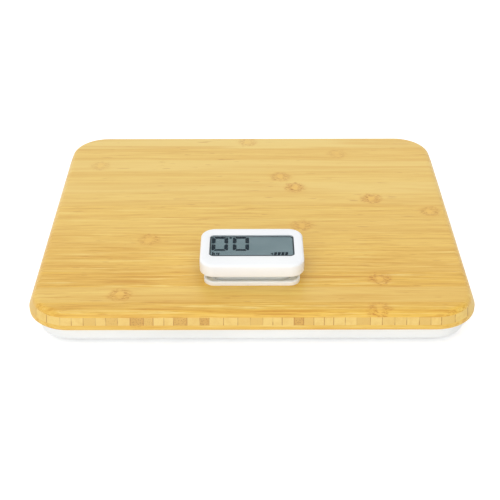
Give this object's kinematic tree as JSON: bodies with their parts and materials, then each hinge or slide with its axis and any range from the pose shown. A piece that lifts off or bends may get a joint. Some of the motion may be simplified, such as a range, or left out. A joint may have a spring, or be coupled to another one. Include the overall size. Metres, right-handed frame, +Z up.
{
  "type": "bathroom weighing scale",
  "caption": "Flat bathroom scale with a bamboo platform, a white base tray and a raised display head that is pressed down to charge it.",
  "frame": {"origin": "on the floor, below the centre of the platform", "axes": "+X to the right and +Y to the back for someone who faces the display, +Z up"},
  "size_m": [0.3, 0.26, 0.046],
  "materials": {
    "bamboo": "clear lacquered laminated bamboo, satin",
    "bamboo_core": "end-grain bamboo strips, sanded and lacquered",
    "white_plastic": "fine matt moulded white ABS",
    "head_plastic": "smooth moulded white ABS, slight gloss",
    "grey_plastic": "moulded light grey ABS",
    "natural_plastic": "natural acetal",
    "window_plastic": "clear acrylic, polished",
    "lcd_glass": "liquid crystal cell, grey-green",
    "black_foam": "black foam tape",
    "pad_rubber": "grey rubber, matt",
    "pink_rubber": "layered conductive silicone",
    "spring_steel": "bare spring steel",
    "screw_steel": "zinc plated steel",
    "shaft_steel": "ground steel",
    "can_steel": "nickel plated drawn steel",
    "core_steel": "electrical steel",
    "magnet": "sintered ferrite",
    "copper_wire": "enamelled copper winding",
    "green_plastic": "moulded nylon",
    "brass": "machined brass",
    "circuit_board": "glass fibre laminate with green mask",
    "board_parts": "moulded sockets and chip packages",
    "capacitor": "shrink sleeve",
    "wire_sheath": "soft insulation",
    "red_sheath": "soft insulation",
    "flex_film": "polyimide film",
    "gauge_resin": "silicone coating"
  },
  "bodies": {
    "scale_body": {"platform_top_ply": "bamboo", "platform_core": "bamboo_core", "platform_bottom_ply": "bamboo", "base_tray": "white_plastic", "base_screws": "screw_steel", "load_cell_front_left": "spring_steel", "load_cell_front_right": "spring_steel", "load_cell_back_left": "spring_steel", "load_cell_back_right": "spring_steel", "cell_clamp_front_left": "white_plastic", "cell_clamp_front_right": "white_plastic", "cell_clamp_back_left": "white_plastic", "cell_clamp_back_right": "white_plastic", "cell_cable_front_left": "wire_sheath", "cell_cable_front_right": "wire_sheath", "cell_cable_back_left": "wire_sheath", "cell_cable_back_right": "wire_sheath", "strain_gauges": "gauge_resin", "collar": "head_plastic", "collar_screws": "screw_steel", "gear_case": "grey_plastic", "gear_cover": "grey_plastic", "gear_cover_screws": "screw_steel", "first_axle": "shaft_steel", "second_axle": "shaft_steel", "generator_can": "can_steel", "stator_core": "core_steel", "coil_bobbin": "green_plastic", "coil_winding": "copper_wire", "generator_leads": "red_sheath", "main_board": "circuit_board", "board_screws": "screw_steel", "board_parts": "board_parts", "storage_capacitor": "capacitor", "return_springs": "spring_steel", "flex_cable": "flex_film"},
    "display_head": {"head_shell": "head_plastic", "display_window": "window_plastic", "window_gasket": "black_foam", "lcd_panel": "lcd_glass", "contact_strips": "pink_rubber", "head_board": "circuit_board", "head_cover": "head_plastic", "head_screws": "screw_steel", "rack": "natural_plastic", "guide_posts": "shaft_steel", "post_screws": "screw_steel"},
    "first_wheel": {"first_gear": "natural_plastic"},
    "second_wheel": {"second_gear": "natural_plastic"},
    "generator_rotor": {"rotor_pinion": "brass", "rotor_shaft": "shaft_steel", "rotor_magnet": "magnet"},
    "foot_front_left": {"foot_cup_front_left": "white_plastic", "foot_pad_front_left": "pad_rubber"},
    "foot_front_right": {"foot_cup_front_right": "white_plastic", "foot_pad_front_right": "pad_rubber"},
    "foot_back_left": {"foot_cup_back_left": "white_plastic", "foot_pad_back_left": "pad_rubber"},
    "foot_back_right": {"foot_cup_back_right": "white_plastic", "foot_pad_back_right": "pad_rubber"}
  },
  "joints": [
    {"name": "head_press", "type": "slide", "parent": "scale_body", "child": "display_head", "axis": [0, 0, -1], "range_m": [0, 0.008], "stiffness_N_per_m": 600, "springref_m": -0.01, "deforming": ["return_springs", "flex_cable"]},
    {"name": "first_gear_turn", "type": "hinge", "parent": "scale_body", "child": "first_wheel", "pos_m": [-0.01397, -0.075, 0.01653], "axis": [0, 1, 0], "range_deg": [-110, 0]},
    {"name": "second_gear_turn", "type": "hinge", "parent": "scale_body", "child": "second_wheel", "pos_m": [-0.00247, -0.075, 0.01653], "axis": [0, 1, 0], "range_deg": [0, 312]},
    {"name": "rotor_turn", "type": "hinge", "parent": "scale_body", "child": "generator_rotor", "pos_m": [0.00903, -0.075, 0.01653], "axis": [0, 1, 0], "range_deg": [-880, 0]},
    {"name": "foot_front_left_press", "type": "slide", "parent": "scale_body", "child": "foot_front_left", "axis": [0, 0, 1], "range_m": [0, 0.0005], "stiffness_N_per_m": 500, "springref_m": -0.01, "deforming": ["load_cell_front_left"]},
    {"name": "foot_front_right_press", "type": "slide", "parent": "scale_body", "child": "foot_front_right", "axis": [0, 0, 1], "range_m": [0, 0.0005], "stiffness_N_per_m": 500, "springref_m": -0.01, "deforming": ["load_cell_front_right"]},
    {"name": "foot_back_left_press", "type": "slide", "parent": "scale_body", "child": "foot_back_left", "axis": [0, 0, 1], "range_m": [0, 0.0005], "stiffness_N_per_m": 500, "springref_m": -0.01, "deforming": ["load_cell_back_left"]},
    {"name": "foot_back_right_press", "type": "slide", "parent": "scale_body", "child": "foot_back_right", "axis": [0, 0, 1], "range_m": [0, 0.0005], "stiffness_N_per_m": 500, "springref_m": -0.01, "deforming": ["load_cell_back_right"]}
  ],
  "couplings": [
    {"joint": "first_gear_turn", "follows": "head_press", "rad_per_m": -238.1},
    {"joint": "second_gear_turn", "follows": "head_press", "rad_per_m": 674.6},
    {"joint": "rotor_turn", "follows": "head_press", "rad_per_m": -1911.4}
  ]
}
